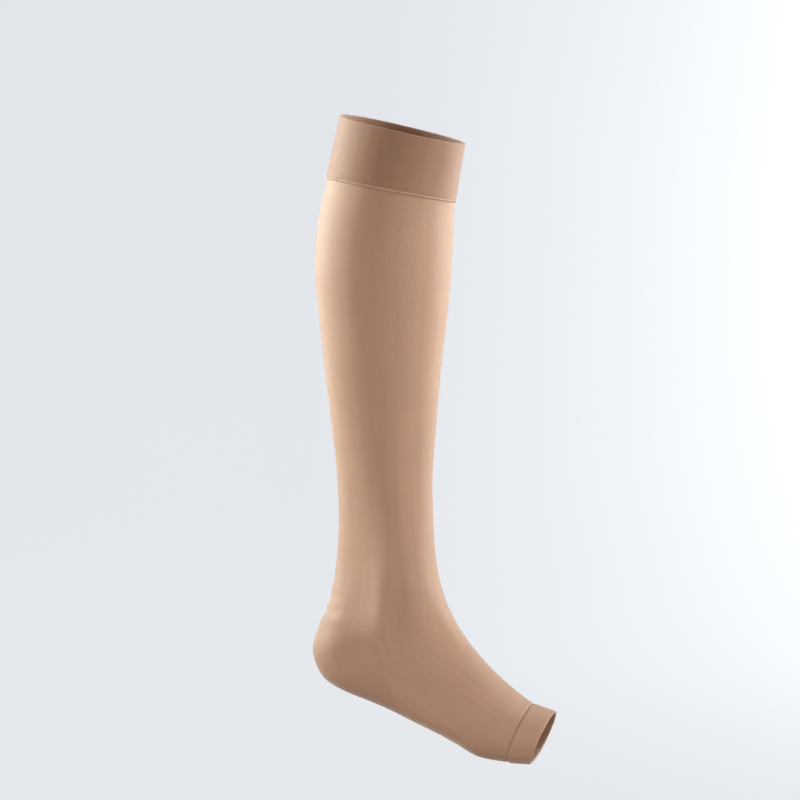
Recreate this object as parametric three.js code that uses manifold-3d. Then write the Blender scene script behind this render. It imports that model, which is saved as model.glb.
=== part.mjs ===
// A below-knee, open-toe compression stocking for a right leg, in the hollow form that it keeps when worn.
// The stocking is a circular-knitted tube for the leg and foot, a knitted-in heel pouch, a doubled top band
// sewn round the upper edge, and a turned toe band. The foot points forwards and down, as on tiptoe.
// Frame: millimetres, +X towards the toes, +Y to the wearer's left (the inner side), +Z up.
// The origin is the middle of the top opening, where the leg holds the stocking up.
import * as THREE from "three";
import Module from "manifold-3d";
import { mergeVertices } from "three/addons/utils/BufferGeometryUtils.js";

const wasm = await Module();
wasm.setup();

// Driving sizes of the cloth
const KNIT = 1.2; // wall of the single knit
const BAND_WALL = 2.2; // the top band is two layers of knit
const BAND_PROUD = 1.2; // how far the top band stands out from the leg
const TOE_BAND_WALL = 1.9; // the toe band is a turned hem
const TOE_BAND_PROUD = 0.5;
const SEAM_GAP = 0.3; // between neighbouring pieces

// How finely the cloth is faceted
const AROUND = 40; // facets round each ring
const LEG_STEP = 18; // length of a facet down the leg
const FOOT_STEP = 10.5; // length of a facet round the heel and along the foot
const SHORT_STEPS_FROM = 330; // distance down the tube where the foot's steps begin
const FOLD_STEPS = 3; // facets round a turned edge

// Rows of values as objects with named columns.
const table = (columns, rows) =>
  rows.map((row) => Object.fromEntries(columns.map((name, i) => [name, row[i]])));

// The rings that shape the tube, from the top opening to the toe opening. Each is a closed oval in the plane
// through its front point and its back point, which are x and z on the outside of the cloth.
// outer and inner are its half widths on the leg's two sides, and widest is where it is widest, from back 0 to
// front 1. frontFull and backFull say how full its ends are, where 2 is an ellipse and more is squarer.
// lead is how far, in degrees, the inner side runs down the leg ahead of the outer side.
const RING_COLUMNS = [
  "name", "frontX", "frontZ", "backX", "backZ", "outer", "inner", "widest", "frontFull", "backFull", "lead",
];
const RINGS = table(RING_COLUMNS, [
  ["top edge", 47.5, -11.0, -47.5, 11.0, 47.0, 47.0, 0.46, 2.1, 2.2, 0],
  ["band seam", 40.3, -56.0, -58.6, -38.0, 50.0, 50.5, 0.45, 2.05, 2.2, 3],
  ["upper calf", 39.3, -82.0, -65.7, -68.5, 52.5, 53.5, 0.44, 2.0, 2.2, 2],
  ["full calf", 37.9, -112.5, -68.7, -106.5, 52.5, 54.5, 0.44, 2.0, 2.2, 0],
  ["lower calf", 34.6, -148.0, -66.1, -143.5, 48.0, 51.5, 0.45, 2.0, 2.15, 0],
  ["calf end", 30.0, -188.0, -62.0, -185.0, 42.0, 44.5, 0.46, 2.0, 2.1, 0],
  ["shin", 26.5, -230.0, -57.2, -228.0, 35.5, 37.0, 0.49, 2.0, 2.0, 0],
  ["low shin", 23.5, -271.0, -52.7, -269.5, 31.0, 32.0, 0.53, 2.0, 1.9, 0],
  ["narrowest ankle", 23.8, -303.5, -51.4, -305.0, 29.8, 30.3, 0.58, 2.05, 1.75, 0],
  ["above ankle bones", 25.6, -334.0, -52.6, -334.5, 31.5, 31.5, 0.62, 2.1, 1.62, 0],
  ["ankle", 28.5, -353.0, -55.5, -357.5, 33.8, 33.5, 0.64, 2.1, 1.6, 0],
  ["under ankle", 32.0, -366.0, -60.6, -379.5, 34.2, 33.5, 0.63, 2.15, 1.7, 0],
  ["upper heel", 35.3, -376.0, -67.7, -396.5, 34.2, 33.4, 0.6, 2.2, 1.95, 0],
  ["heel point", 38.7, -383.0, -71.8, -410.5, 33.8, 33.5, 0.55, 2.2, 2.3, 0],
  ["heel corner", 42.1, -389.5, -69.5, -423.5, 33.5, 33.5, 0.5, 2.2, 2.5, 0],
  ["under heel", 45.4, -395.0, -61.5, -436.3, 34.0, 33.5, 0.48, 2.15, 2.5, 0],
  ["heel end", 49.0, -400.0, -45.8, -445.5, 34.5, 33.5, 0.46, 2.05, 2.5, 0],
  ["rear arch", 53.2, -406.0, -27.6, -452.0, 35.5, 33.5, 0.43, 1.95, 2.5, 0],
  ["arch", 58.6, -412.5, -8.1, -459.5, 37.0, 34.0, 0.4, 1.88, 2.5, 0],
  ["front arch", 64.6, -419.5, 11.4, -468.5, 39.0, 35.5, 0.38, 1.82, 2.55, 1],
  ["instep end", 71.5, -427.0, 29.7, -476.5, 41.0, 37.5, 0.37, 1.8, 2.6, 3],
  ["behind ball", 79.8, -435.0, 46.3, -484.7, 43.0, 40.0, 0.37, 1.82, 2.65, 5],
  ["ball", 90.0, -444.0, 64.5, -494.0, 44.5, 42.0, 0.38, 1.88, 2.65, 6],
  ["toe band seam", 102.6, -454.0, 89.0, -497.5, 43.8, 42.5, 0.4, 2.0, 2.6, 6],
  ["toe edge", 120.3, -460.8, 105.5, -498.5, 40.8, 41.2, 0.43, 2.15, 2.5, 4],
]);

// Soft rises and hollows of the cloth over the ankle, seen from the side: x and z are the middle, tilt is how
// far its top leans back in degrees, long and wide are its reaches, height is outwards, and side is -1 on the
// outer side and 1 on the inner side.
const RELIEF = table(["name", "side", "x", "z", "tilt", "long", "wide", "height"], [
  ["outer ankle rise", -1, -12.5, -372, 2, 27, 7.5, 1.4],
  ["outer hollow before the rise", -1, -2.5, -373, 4, 25, 7, -2.4],
  ["outer hollow behind the rise", -1, -32, -368, 2, 42, 13, -1.5],
  ["inner ankle rise", 1, -4, -354, 10, 20, 15, 2.4],
  ["inner hollow before the rise", 1, 15, -346, 12, 30, 9, -1.2],
]);

// The heel pouch is what lies between its two gore lines, behind their corner, seen from the side as [x, z]
const GORE_CORNER = [-19, -395];
const UPPER_GORE_THROUGH = [-60, -384];
const LOWER_GORE_THROUGH = [3, -463];
const BEYOND = 260; // how far the cutting wedge runs past the cloth

const legKnit = new THREE.MeshStandardMaterial({ color: 0xb8937a, roughness: 0.82, metalness: 0 });
const bandKnit = new THREE.MeshStandardMaterial({ color: 0xb18b71, roughness: 0.85, metalness: 0 });
const heelKnit = new THREE.MeshStandardMaterial({ color: 0xb08b73, roughness: 0.84, metalness: 0 });
const toeKnit = new THREE.MeshStandardMaterial({ color: 0xa9866e, roughness: 0.85, metalness: 0 });

// Each ring's distance down the tube, by the longer of the two steps along the front and along the back.
const ringAlong = [0];
RINGS.slice(1).forEach((ring, i) => {
  const before = RINGS[i];
  const frontStep = Math.hypot(ring.frontX - before.frontX, ring.frontZ - before.frontZ);
  const backStep = Math.hypot(ring.backX - before.backX, ring.backZ - before.backZ);
  ringAlong.push(ringAlong[i] + Math.max(frontStep, backStep));
});
const alongOf = (name) => ringAlong[RINGS.findIndex((ring) => ring.name === name)];
const TUBE_LENGTH = alongOf("toe edge");

// A smooth curve through one column of the ring table, at a distance down the tube.
function columnAt(name, along) {
  const last = RINGS.length - 1;
  let i = 0;
  while (i < last - 1 && ringAlong[i + 1] < along) i++;
  const slope = (k) => {
    const before = Math.max(k - 1, 0);
    const after = Math.min(k + 1, last);
    return (RINGS[after][name] - RINGS[before][name]) / (ringAlong[after] - ringAlong[before]);
  };
  const span = ringAlong[i + 1] - ringAlong[i];
  const t = (along - ringAlong[i]) / span;
  const rise = t * t * (3 - 2 * t);
  const startPull = t * (1 - t) * (1 - t) * span * slope(i);
  const endPull = t * t * (t - 1) * span * slope(i + 1);
  return (1 - rise) * RINGS[i][name] + rise * RINGS[i + 1][name] + startPull + endPull;
}

// The ring at a distance down the tube: its middle, its directions and its sizes.
function ringAt(along) {
  const size = Object.fromEntries(RING_COLUMNS.slice(1).map((name) => [name, columnAt(name, along)]));
  const back = new THREE.Vector3(size.backX, 0, size.backZ);
  const forward = new THREE.Vector3(size.frontX, 0, size.frontZ).sub(back);
  const depth = forward.length();
  forward.normalize();
  const downTube = new THREE.Vector3(forward.z, 0, -forward.x);
  const lead = THREE.MathUtils.degToRad(size.lead);
  const inwards = new THREE.Vector3(0, Math.cos(lead), 0).addScaledVector(downTube, Math.sin(lead));
  return {
    ...size,
    middle: back.addScaledVector(forward, size.widest * depth),
    forward,
    inwards,
    upTube: new THREE.Vector3().crossVectors(forward, inwards).normalize(),
    frontDepth: (1 - size.widest) * depth,
    backDepth: size.widest * depth,
  };
}

// A point of a ring's oval. The angle runs from the front over the outer side, the back and the inner side.
function ovalPoint(ring, angle) {
  const c = Math.cos(angle);
  const s = Math.sin(angle);
  const power = 2 / (c > 0 ? ring.frontFull : ring.backFull);
  const depth = c > 0 ? ring.frontDepth : -ring.backDepth;
  const width = s > 0 ? -ring.outer : ring.inner;
  return ring.middle
    .clone()
    .addScaledVector(ring.forward, depth * Math.abs(c) ** power)
    .addScaledVector(ring.inwards, width * Math.abs(s) ** power);
}

// How far the cloth stands in or out at a point, by the table of rises and hollows.
function reliefAt(point) {
  let height = 0;
  for (const row of RELIEF.filter(({ side }) => side * point.y > 0)) {
    const tilt = THREE.MathUtils.degToRad(row.tilt);
    const x = point.x - row.x;
    const z = point.z - row.z;
    const up = z * Math.cos(tilt) - x * Math.sin(tilt);
    const across = x * Math.cos(tilt) + z * Math.sin(tilt);
    height += row.height * Math.exp(-((up / row.long) ** 2) - (across / row.wide) ** 2);
  }
  return height;
}

// AROUND points of a ring, evenly spaced along its outer side and along its inner side, with the ring's own
// outward direction at each.
const FINE = 240; // steps that measure one side of a ring
function ringPoints(along) {
  const ring = ringAt(along);
  const points = [];
  for (const side of [0, 1]) {
    const fine = Array.from({ length: FINE + 1 }, (_, i) => ovalPoint(ring, Math.PI * (side + i / FINE)));
    const run = [0];
    for (let i = 1; i <= FINE; i++) run.push(run[i - 1] + fine[i].distanceTo(fine[i - 1]));
    let k = 0;
    for (let j = 0; j < AROUND / 2; j++) {
      const wanted = (run[FINE] * j) / (AROUND / 2);
      while (run[k + 1] < wanted) k++;
      points.push(fine[k].clone().lerp(fine[k + 1], (wanted - run[k]) / (run[k + 1] - run[k])));
    }
  }
  const outwards = points.map((_, j) => {
    const next = points[(j + 1) % AROUND];
    const before = points[(j + AROUND - 1) % AROUND];
    return next.clone().sub(before).cross(ring.upTube).negate().normalize();
  });
  points.forEach((point, j) => point.addScaledVector(outwards[j], reliefAt(point)));
  return { points, outwards, upTube: ring.upTube };
}

// A ring moved out from the cloth's outside. The wall is measured square to the cloth, so where the tube flares
// the move along the ring is longer.
const SLOPE_STEP = 0.5;
function offsetRing(along, offset) {
  const here = ringPoints(along);
  const middle = Math.min(Math.max(along, SLOPE_STEP), TUBE_LENGTH - SLOPE_STEP);
  const above = ringPoints(middle - SLOPE_STEP).points;
  const below = ringPoints(middle + SLOPE_STEP).points;
  return here.points.map((point, j) => {
    const downCloth = below[j].clone().sub(above[j]);
    const roundCloth = new THREE.Vector3().crossVectors(here.upTube, here.outwards[j]);
    const square = new THREE.Vector3().crossVectors(roundCloth, downCloth).normalize();
    return point.clone().addScaledVector(here.outwards[j], offset / Math.abs(square.dot(here.outwards[j])));
  });
}

// A closed ring-shaped solid. The profile is a list of [along, offset] round the section of its wall.
function sleeve(profile) {
  const positions = profile.flatMap(([along, offset]) => offsetRing(along, offset).flatMap((p) => p.toArray()));
  const index = [];
  profile.forEach((_, k) => {
    const loop = k * AROUND;
    const nextLoop = ((k + 1) % profile.length) * AROUND;
    for (let j = 0; j < AROUND; j++) {
      const next = (j + 1) % AROUND;
      index.push(loop + j, loop + next, nextLoop + j, loop + next, nextLoop + next, nextLoop + j);
    }
  });
  const geometry = new THREE.BufferGeometry();
  geometry.setAttribute("position", new THREE.Float32BufferAttribute(positions, 3));
  geometry.setIndex(index);
  return geometry;
}

// Distances down the tube from start to end, in long steps on the leg and short ones on the foot.
function stations(start, end) {
  const list = [];
  const addSteps = (from, to, step) => {
    const count = Math.max(0, Math.ceil((to - from) / step));
    for (let i = 0; i < count; i++) list.push(from + ((to - from) * i) / count);
  };
  addSteps(start, Math.min(end, SHORT_STEPS_FROM), LEG_STEP);
  addSteps(Math.max(start, SHORT_STEPS_FROM), end, FOOT_STEP);
  list.push(end);
  return list;
}

// The section of a wall between two distances down the tube. foldAt is "start" or "end" where that edge is
// turned over in a round fold.
function wallProfile(start, end, outside, inside, foldAt) {
  const radius = (outside - inside) / 2;
  const middle = (outside + inside) / 2;
  const flatStart = foldAt === "start" ? start + radius : start;
  const flatEnd = foldAt === "end" ? end - radius : end;
  const down = stations(flatStart, flatEnd);
  const outerFace = down.map((along) => [along, outside]);
  const innerFace = down.map((along) => [along, inside]).reverse();
  const angles = Array.from({ length: FOLD_STEPS - 1 }, (_, i) => (Math.PI * (i + 1)) / FOLD_STEPS);
  const endFold = angles.map((a) => [flatEnd + radius * Math.sin(a), middle + radius * Math.cos(a)]);
  const startFold = angles.map((a) => [flatStart - radius * Math.sin(a), middle - radius * Math.cos(a)]);
  return [
    ...outerFace,
    ...(foldAt === "end" ? endFold : []),
    ...innerFace,
    ...(foldAt === "start" ? startFold : []),
  ];
}

// A three.js geometry as a manifold solid, and a manifold solid as a three.js geometry.
function solidOf(geometry) {
  const bare = new THREE.BufferGeometry();
  bare.setAttribute("position", geometry.getAttribute("position"));
  if (geometry.index) bare.setIndex(geometry.index);
  const merged = mergeVertices(bare, 1e-4);
  return new wasm.Manifold(
    new wasm.Mesh({
      numProp: 3,
      vertProperties: new Float32Array(merged.attributes.position.array),
      triVerts: new Uint32Array(merged.index.array),
    }),
  );
}

function geometryOf(solid) {
  const mesh = solid.getMesh();
  const geometry = new THREE.BufferGeometry();
  geometry.setAttribute("position", new THREE.BufferAttribute(new Float32Array(mesh.vertProperties), 3));
  geometry.setIndex(new THREE.BufferAttribute(new Uint32Array(mesh.triVerts), 1));
  return geometry;
}

// The wedge between the two gore lines, right across the foot. grow moves both of its faces out.
function heelWedge(grow) {
  const corner = new THREE.Vector2(...GORE_CORNER);
  const upper = new THREE.Vector2(...UPPER_GORE_THROUGH).sub(corner).normalize();
  const lower = new THREE.Vector2(...LOWER_GORE_THROUGH).sub(corner).normalize();
  const middle = upper.clone().add(lower).normalize();
  const halfAngle = Math.acos(upper.dot(middle));
  const tip = corner.clone().addScaledVector(middle, -grow / Math.sin(halfAngle));
  const outline = [
    tip,
    tip.clone().addScaledVector(upper, BEYOND),
    tip.clone().addScaledVector(middle, BEYOND * 2),
    tip.clone().addScaledVector(lower, BEYOND),
  ];
  const geometry = new THREE.ExtrudeGeometry(new THREE.Shape(outline), { depth: BEYOND, bevelEnabled: false });
  geometry.translate(0, 0, -BEYOND / 2);
  geometry.rotateX(Math.PI / 2);
  return solidOf(geometry);
}

const stocking = new THREE.Group();
function addPiece(name, geometry, material) {
  const piece = new THREE.Mesh(geometry, material);
  piece.name = name;
  stocking.add(piece);
}

const bandSeam = alongOf("band seam");
const toeSeam = alongOf("toe band seam");

const bandProfile = wallProfile(0, bandSeam - SEAM_GAP / 2, BAND_PROUD, BAND_PROUD - BAND_WALL, "start");
addPiece("top_band", sleeve(bandProfile), bandKnit);

const tube = solidOf(sleeve(wallProfile(bandSeam + SEAM_GAP / 2, toeSeam - SEAM_GAP / 2, 0, -KNIT)));
addPiece("leg_and_foot", geometryOf(tube.subtract(heelWedge(SEAM_GAP / 2))), legKnit);
addPiece("heel_pouch", geometryOf(tube.intersect(heelWedge(-SEAM_GAP / 2))), heelKnit);

const toeInside = TOE_BAND_PROUD - TOE_BAND_WALL;
const toeProfile = wallProfile(toeSeam + SEAM_GAP / 2, TUBE_LENGTH, TOE_BAND_PROUD, toeInside, "end");
addPiece("toe_band", sleeve(toeProfile), toeKnit);

export default stocking;
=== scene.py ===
"""A worn, below-knee, open-toe compression stocking in fine circular knit, made piece by piece.

The stocking keeps the hollow form that a leg gives it. Lengths are in metres: +X runs towards the toes, +Y
towards the inner side, +Z up, and the origin is the middle of the top opening.
"""
import math
from bisect import bisect_left
from functools import lru_cache

import bmesh
import bpy
from bpy.props import FloatProperty, FloatVectorProperty, IntProperty, PointerProperty
from mathutils import Matrix, Vector


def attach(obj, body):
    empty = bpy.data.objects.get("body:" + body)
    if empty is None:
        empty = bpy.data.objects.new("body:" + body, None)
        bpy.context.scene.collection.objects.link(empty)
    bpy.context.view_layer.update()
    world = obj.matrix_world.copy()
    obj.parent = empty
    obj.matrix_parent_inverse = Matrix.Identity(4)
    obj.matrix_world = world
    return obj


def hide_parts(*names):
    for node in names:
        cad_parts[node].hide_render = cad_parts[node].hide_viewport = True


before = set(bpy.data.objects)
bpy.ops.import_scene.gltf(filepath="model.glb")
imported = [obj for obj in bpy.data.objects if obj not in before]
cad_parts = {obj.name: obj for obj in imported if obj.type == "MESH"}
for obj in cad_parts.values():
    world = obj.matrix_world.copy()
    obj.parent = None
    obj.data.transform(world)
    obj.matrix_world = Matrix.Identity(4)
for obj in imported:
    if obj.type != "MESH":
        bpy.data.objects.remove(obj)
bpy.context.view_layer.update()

bl_info = {
    "name": "Compression Stocking",
    "version": (1, 0, 0),
    "blender": (4, 5, 0),
    "location": "View3D > Sidebar > Stocking",
    "description": "Makes a worn, open-toe compression stocking in fine knit",
    "category": "Mesh",
}

MM = 0.001


def table(columns, rows):
    """Rows of values as dictionaries with named columns."""
    return [dict(zip(columns, row)) for row in rows]


# The rings that shape the tube, from the top opening to the toe opening. Each is a closed oval in the plane
# through its front point and its back point, on the outside of the cloth. outer and inner are its half widths
# on the leg's two sides, and widest is where it is widest, from back 0 to front 1. front_full and back_full
# say how full its ends are, where 2 is an ellipse and more is squarer. lead is how far, in degrees, the inner
# side runs down the leg ahead of the outer side.
RING_COLUMNS = (
    "name", "front_x", "front_z", "back_x", "back_z", "outer", "inner", "widest", "front_full", "back_full",
    "lead",
)
RINGS = table(RING_COLUMNS, [
    ("top edge", 0.0475, -0.0110, -0.0475, 0.0110, 0.0470, 0.0470, 0.46, 2.10, 2.20, 0),
    ("band seam", 0.0403, -0.0560, -0.0586, -0.0380, 0.0500, 0.0505, 0.45, 2.05, 2.20, 3),
    ("upper calf", 0.0393, -0.0820, -0.0657, -0.0685, 0.0525, 0.0535, 0.44, 2.00, 2.20, 2),
    ("full calf", 0.0379, -0.1125, -0.0687, -0.1065, 0.0525, 0.0545, 0.44, 2.00, 2.20, 0),
    ("lower calf", 0.0346, -0.1480, -0.0661, -0.1435, 0.0480, 0.0515, 0.45, 2.00, 2.15, 0),
    ("calf end", 0.0300, -0.1880, -0.0620, -0.1850, 0.0420, 0.0445, 0.46, 2.00, 2.10, 0),
    ("shin", 0.0265, -0.2300, -0.0572, -0.2280, 0.0355, 0.0370, 0.49, 2.00, 2.00, 0),
    ("low shin", 0.0235, -0.2710, -0.0527, -0.2695, 0.0310, 0.0320, 0.53, 2.00, 1.90, 0),
    ("narrowest ankle", 0.0238, -0.3035, -0.0514, -0.3050, 0.0298, 0.0303, 0.58, 2.05, 1.75, 0),
    ("above ankle bones", 0.0256, -0.3340, -0.0526, -0.3345, 0.0315, 0.0315, 0.62, 2.10, 1.62, 0),
    ("ankle", 0.0285, -0.3530, -0.0555, -0.3575, 0.0338, 0.0335, 0.64, 2.10, 1.60, 0),
    ("under ankle", 0.0320, -0.3660, -0.0606, -0.3795, 0.0342, 0.0335, 0.63, 2.15, 1.70, 0),
    ("upper heel", 0.0353, -0.3760, -0.0677, -0.3965, 0.0342, 0.0334, 0.60, 2.20, 1.95, 0),
    ("heel point", 0.0387, -0.3830, -0.0718, -0.4105, 0.0338, 0.0335, 0.55, 2.20, 2.30, 0),
    ("heel corner", 0.0421, -0.3895, -0.0695, -0.4235, 0.0335, 0.0335, 0.50, 2.20, 2.50, 0),
    ("under heel", 0.0454, -0.3950, -0.0615, -0.4363, 0.0340, 0.0335, 0.48, 2.15, 2.50, 0),
    ("heel end", 0.0490, -0.4000, -0.0458, -0.4455, 0.0345, 0.0335, 0.46, 2.05, 2.50, 0),
    ("rear arch", 0.0532, -0.4060, -0.0276, -0.4520, 0.0355, 0.0335, 0.43, 1.95, 2.50, 0),
    ("arch", 0.0586, -0.4125, -0.0081, -0.4595, 0.0370, 0.0340, 0.40, 1.88, 2.50, 0),
    ("front arch", 0.0646, -0.4195, 0.0114, -0.4685, 0.0390, 0.0355, 0.38, 1.82, 2.55, 1),
    ("instep end", 0.0715, -0.4270, 0.0297, -0.4765, 0.0410, 0.0375, 0.37, 1.80, 2.60, 3),
    ("behind ball", 0.0798, -0.4350, 0.0463, -0.4847, 0.0430, 0.0400, 0.37, 1.82, 2.65, 5),
    ("ball", 0.0900, -0.4440, 0.0645, -0.4940, 0.0445, 0.0420, 0.38, 1.88, 2.65, 6),
    ("toe band seam", 0.1026, -0.4540, 0.0890, -0.4975, 0.0438, 0.0425, 0.40, 2.00, 2.60, 6),
    ("toe edge", 0.1203, -0.4608, 0.1055, -0.4985, 0.0408, 0.0412, 0.43, 2.15, 2.50, 4),
])

# Soft rises and hollows of the cloth over the ankle and heel, seen from the side. x and z are the middle,
# tilt is how far its top leans back in degrees, long and wide are its reaches, and height is outwards. side
# is -1 on the outer side, 1 on the inner side and 0 on both.
RELIEF = table(("name", "side", "x", "z", "tilt", "long", "wide", "height"), [
    ("outer ankle rise", -1, -0.0125, -0.372, 2, 0.027, 0.0075, 0.0014),
    ("outer hollow before the rise", -1, -0.0025, -0.373, 4, 0.025, 0.0070, -0.0024),
    ("outer hollow behind the rise", -1, -0.0320, -0.368, 2, 0.042, 0.0130, -0.0015),
    ("outer heel hollow", -1, -0.0310, -0.411, 0, 0.016, 0.0140, -0.0010),
    ("rise behind the ankle", 0, -0.0500, -0.389, -14, 0.027, 0.0105, 0.0024),
    ("inner ankle rise", 1, -0.0040, -0.354, 10, 0.020, 0.0150, 0.0024),
    ("inner hollow before the rise", 1, 0.0150, -0.346, 12, 0.030, 0.0090, -0.0012),
])
FADED = 3  # reaches above or below its middle, where nothing of a rise is left

# Soft creases where the cloth slackens above the heel and under the top band. turn is the place round the
# tube (0 front, 0.25 outer side, 0.5 back, 0.75 inner side), along is the distance down it, long and wide are
# reaches along and across the crease, tilt turns it in degrees, and height is outwards.
CREASES = table(("name", "turn", "along", "long", "wide", "tilt", "height"), [
    ("crease above the heel", 0.500, 0.3990, 0.025, 0.0038, 2, -0.0010),
    ("fold under that crease", 0.495, 0.4065, 0.028, 0.0046, -3, 0.0005),
    ("small crease, outer side", 0.462, 0.3860, 0.014, 0.0032, 11, -0.0005),
    ("small crease, inner side", 0.556, 0.3845, 0.017, 0.0034, -9, -0.0006),
    ("faint crease at the tendon", 0.508, 0.3710, 0.012, 0.0034, 5, -0.0004),
    ("slack behind the band seam", 0.520, 0.0560, 0.030, 0.0040, -2, -0.0005),
])

# The heel pouch lies between its two gore lines, behind their corner. They are drawn in the tube's middle
# plane, and run straight through it to both sides.
GORE_CORNER = Vector((-0.019, 0, -0.395))
UPPER_GORE_THROUGH = Vector((-0.060, 0, -0.384))
LOWER_GORE_THROUGH = Vector((0.003, 0, -0.463))

# Each ring's distance down the tube, by the longer of the two steps along the front and along the back.
RING_ALONG = [0.0]
for before, ring in zip(RINGS, RINGS[1:]):
    front_step = math.hypot(ring["front_x"] - before["front_x"], ring["front_z"] - before["front_z"])
    back_step = math.hypot(ring["back_x"] - before["back_x"], ring["back_z"] - before["back_z"])
    RING_ALONG.append(RING_ALONG[-1] + max(front_step, back_step))


def along_of(name):
    """A named ring's distance down the tube."""
    return next(along for along, ring in zip(RING_ALONG, RINGS) if ring["name"] == name)


BAND_SEAM = along_of("band seam")
TOE_SEAM = along_of("toe band seam")
TUBE_LENGTH = along_of("toe edge")


def column_at(name, along):
    """A smooth curve through one column of the ring table, at a distance down the tube."""
    last = len(RINGS) - 1
    i = 0
    while i < last - 1 and RING_ALONG[i + 1] < along:
        i += 1

    def slope(k):
        earlier, later = max(k - 1, 0), min(k + 1, last)
        return (RINGS[later][name] - RINGS[earlier][name]) / (RING_ALONG[later] - RING_ALONG[earlier])

    span = RING_ALONG[i + 1] - RING_ALONG[i]
    t = (along - RING_ALONG[i]) / span
    rise = t * t * (3 - 2 * t)
    start_pull = t * (1 - t) * (1 - t) * span * slope(i)
    end_pull = t * t * (t - 1) * span * slope(i + 1)
    return (1 - rise) * RINGS[i][name] + rise * RINGS[i + 1][name] + start_pull + end_pull


SIDE_STEPS = 160  # the straight steps that one side of a ring is measured in


@lru_cache(maxsize=None)
def ring_sides(along):
    """A ring's outline as the points of its outer side and of its inner side, each with a running length."""
    size = {name: column_at(name, along) for name in RING_COLUMNS[1:]}
    back = Vector((size["back_x"], 0, size["back_z"]))
    forward = Vector((size["front_x"], 0, size["front_z"])) - back
    depth = forward.length
    forward.normalize()
    down_tube = Vector((forward.z, 0, -forward.x))
    lead = math.radians(size["lead"])
    inwards = Vector((0, math.cos(lead), 0)) + down_tube * math.sin(lead)
    middle = back + forward * (size["widest"] * depth)
    front_depth, back_depth = (1 - size["widest"]) * depth, size["widest"] * depth
    sides = []
    for side in (0, 1):
        points = []
        for i in range(SIDE_STEPS + 1):
            angle = math.pi * (side + i / SIDE_STEPS)
            c, s = math.cos(angle), math.sin(angle)
            power = 2 / (size["front_full"] if c > 0 else size["back_full"])
            out = (front_depth if c > 0 else -back_depth) * abs(c) ** power
            across = (size["inner"] if side else -size["outer"]) * abs(s) ** power
            points.append(middle + forward * out + inwards * across)
        run = [0.0]
        for a, b in zip(points, points[1:]):
            run.append(run[-1] + (b - a).length)
        sides.append((points, run))
    return sides


def girth(along):
    """The length round a ring."""
    return sum(run[-1] for _, run in ring_sides(along))


def ring_point(turn, along):
    """A point of the bare tube. Turns are evenly spaced along the outer side and along the inner side."""
    turn %= 1.0
    points, run = ring_sides(along)[int(turn >= 0.5)]
    wanted = run[-1] * (turn % 0.5) * 2
    k = min(max(bisect_left(run, wanted), 1), SIDE_STEPS)
    share = (wanted - run[k - 1]) / (run[k] - run[k - 1])
    return points[k - 1].lerp(points[k], share)


def relief_at(point):
    """How far the cloth stands in or out at a point, by the table of rises and hollows."""
    height = 0.0
    for row in RELIEF:
        x, z = point.x - row["x"], point.z - row["z"]
        if row["side"] * point.y < 0 or abs(z) > FADED * row["long"]:
            continue
        tilt = math.radians(row["tilt"])
        up = z * math.cos(tilt) - x * math.sin(tilt)
        across = x * math.cos(tilt) + z * math.sin(tilt)
        height += row["height"] * math.exp(-((up / row["long"]) ** 2) - (across / row["wide"]) ** 2)
    return height


def crease_at(turn, along):
    """How far the cloth stands in or out at a place on the tube, by the table of creases."""
    height = 0.0
    for row in CREASES:
        down = along - row["along"]
        if abs(down) > row["long"]:
            continue
        apart = (turn - row["turn"] + 0.5) % 1.0 - 0.5
        sideways = apart * girth(row["along"])
        tilt = math.radians(row["tilt"])
        across = down * math.cos(tilt) - sideways * math.sin(tilt)
        lengthways = sideways * math.cos(tilt) + down * math.sin(tilt)
        height += row["height"] * math.exp(-((across / row["wide"]) ** 2) - (lengthways / row["long"]) ** 4)
    return height


TURN_STEP = 1 / 400  # the two steps over which the slope of the cloth is measured
ALONG_STEP = 1.0 * MM


def on_tube(turn, along, offset=0.0):
    """The point that lies offset outside the cloth, and the cloth's outward direction there."""
    middle = min(max(along, ALONG_STEP), TUBE_LENGTH - ALONG_STEP)
    round_cloth = ring_point(turn + TURN_STEP, along) - ring_point(turn - TURN_STEP, along)
    down_cloth = ring_point(turn, middle + ALONG_STEP) - ring_point(turn, middle - ALONG_STEP)
    outward = round_cloth.cross(down_cloth).normalized()
    point = ring_point(turn, along)
    return point + outward * (relief_at(point) + crease_at(turn, along) + offset), outward


def stations(start, spans):
    """Distances from start on. Each span is (end, longest step)."""
    distances = [start]
    for end, step in spans:
        begin = distances[-1]
        count = max(1, math.ceil((end - begin) / step - 1e-6))
        distances += [begin + (end - begin) * (i + 1) / count for i in range(count)]
    return distances


# Meshes

AROUND = 144  # faces round the cloth
SAME_PLACE = 0.001 * MM  # vertices nearer than this are one
UV_MAP = "Knit"  # turns round the tube, and metres down the cloth


def wrapped_grid(bm, columns, rows, place, lengths=None, closed_section=False):
    """A grid of faces closed round the tube. place(turn, row number) gives each vertex its point, and lengths
    gives each row its distance down the cloth for the UV map. A closed section ends where it starts."""
    grid = bmesh.ops.create_grid(bm, x_segments=columns, y_segments=rows, size=0.5, calc_uvs=True)
    uv = bm.loops.layers.uv.verify()
    verts = grid["verts"]
    for face in {face for vert in verts for face in vert.link_faces}:
        for loop in face.loops:
            row = round((loop.vert.co.y + 0.5) * rows)
            loop[uv].uv = (loop.vert.co.x + 0.5, lengths[row] if lengths else row / rows)
    for vert in verts:
        turn, row = vert.co.x + 0.5, round((vert.co.y + 0.5) * rows)
        vert.co = place(turn, row % rows if closed_section else row)
    bmesh.ops.remove_doubles(bm, verts=verts, dist=SAME_PLACE)


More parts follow.
